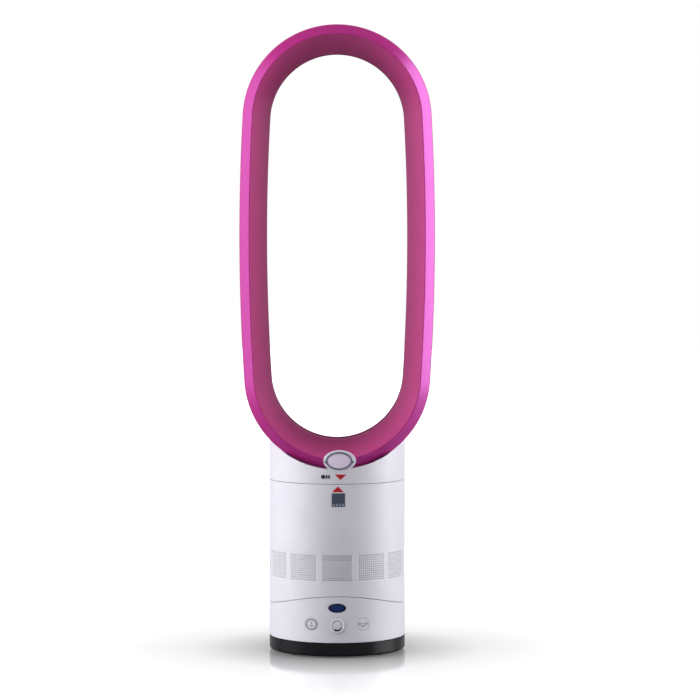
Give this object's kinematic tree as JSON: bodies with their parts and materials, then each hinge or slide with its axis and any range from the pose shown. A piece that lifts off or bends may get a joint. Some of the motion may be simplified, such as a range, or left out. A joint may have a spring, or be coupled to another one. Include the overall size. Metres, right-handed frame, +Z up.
{
  "type": "bladeless fan",
  "caption": "Tall oval air loop on a white cylindrical column that tilts and swings on a black base, with a front control panel",
  "frame": {"origin": "on the floor under the column's axis, level with the underside of the feet", "axes": "+Z up, front of the fan towards -Y, +X to the right seen from the front"},
  "size_m": [0.2694, 0.1921, 0.87],
  "materials": {
    "white_gloss": "glossy moulded ABS, faint lavender cast",
    "black_gloss": "glossy black ABS",
    "black_plastic": "fine matt black",
    "magenta_gloss": "satin metallic magenta lacquer over ABS",
    "grey_plastic": "matt grey ABS",
    "acetal": "natural acetal",
    "rubber": "soft matt rubber",
    "foam": "open-cell acoustic foam",
    "steel": "zinc-plated or turned steel",
    "winding": "varnished copper windings",
    "magnet": "sintered ferrite",
    "circuit_board": "green solder mask on glass-fibre board",
    "blue_lens": "dark blue tinted window",
    "badge_grey": "dark grey printed ring"
  },
  "bodies": {
    "base": {"base_pan": "black_gloss", "foot_1": "rubber", "foot_2": "rubber", "foot_3": "rubber", "foot_4": "rubber", "ring_gear": "acetal", "gear_screw_1": "steel", "gear_screw_2": "steel", "gear_screw_3": "steel", "glide_ring": "acetal", "pivot_post": "steel", "pivot_clip": "steel", "power_inlet": "black_plastic", "inlet_pin_1": "steel", "inlet_pin_2": "steel"},
    "turntable": {"turntable_plate": "grey_plastic", "oscillation_motor": "steel", "control_shell": "white_gloss", "tilt_cradle": "grey_plastic", "guide_stud_1": "steel", "guide_stud_2": "steel", "control_board": "circuit_board", "power_switch": "black_plastic", "oscillation_switch": "black_plastic", "speed_encoder": "grey_plastic", "ir_receiver": "black_plastic", "oval_window": "blue_lens", "power_board": "circuit_board", "transformer": "winding", "capacitor": "black_plastic"},
    "pinion": {"drive_pinion": "acetal"},
    "power_key": {"power_button": "white_gloss"},
    "oscillation_key": {"oscillation_button": "white_gloss"},
    "knob": {"speed_knob": "white_gloss"},
    "tower": {"tower_shell": "white_gloss", "tilt_shoe": "grey_plastic", "impeller_shroud": "grey_plastic", "motor_bucket": "grey_plastic", "motor_cap": "grey_plastic", "lower_bearing": "steel", "upper_bearing": "steel", "motor_stator": "winding", "motor_board": "circuit_board", "motor_mount": "rubber", "diffuser": "grey_plastic", "foam_ring": "foam", "air_duct": "grey_plastic", "duct_seal": "rubber", "bayonet_ring": "grey_plastic"},
    "rotor": {"impeller": "grey_plastic", "rotor_shaft": "steel", "rotor_magnet": "magnet"},
    "loop": {"collar": "white_gloss", "loop_outer_casing": "magenta_gloss", "loop_inner_casing": "magenta_gloss", "loop_screw_1": "steel", "loop_screw_2": "steel", "badge_plate": "white_gloss", "badge_ring": "badge_grey"}
  },
  "joints": [
    {"name": "oscillation", "type": "hinge", "parent": "base", "child": "turntable", "pos_m": [0, 0, 0.0207], "axis": [0, 0, 1], "range_deg": [-45, 45]},
    {"name": "pinion_spin", "type": "hinge", "parent": "turntable", "child": "pinion", "pos_m": [0.0324, 0, 0.008], "axis": [0, 0, 1], "range_deg": [-180, 180]},
    {"name": "power_press", "type": "slide", "parent": "turntable", "child": "power_key", "axis": [0, 1, 0], "range_m": [0, 0.0012], "stiffness_N_per_m": 600, "springref_m": -0.0008},
    {"name": "oscillation_press", "type": "slide", "parent": "turntable", "child": "oscillation_key", "axis": [0, 1, 0], "range_m": [0, 0.0012], "stiffness_N_per_m": 600, "springref_m": -0.0008},
    {"name": "speed_turn", "type": "hinge", "parent": "turntable", "child": "knob", "pos_m": [0, -0.09, 0.045], "axis": [0, -1, 0], "range_deg": [-150, 150]},
    {"name": "tilt", "type": "hinge", "parent": "turntable", "child": "tower", "pos_m": [0, 0, 0.3272], "axis": [1, 0, 0], "range_deg": [-5, 5]},
    {"name": "impeller_spin", "type": "hinge", "parent": "tower", "child": "rotor", "pos_m": [0, 0, 0.17], "axis": [0, 0, 1], "continuous": true},
    {"name": "loop_twist", "type": "hinge", "parent": "tower", "child": "loop", "pos_m": [0, 0, 0.24], "axis": [0, 0, 1], "range_deg": [0, 18]}
  ],
  "couplings": [
    {"joint": "pinion_spin", "follows": "oscillation", "ratio": -4}
  ]
}
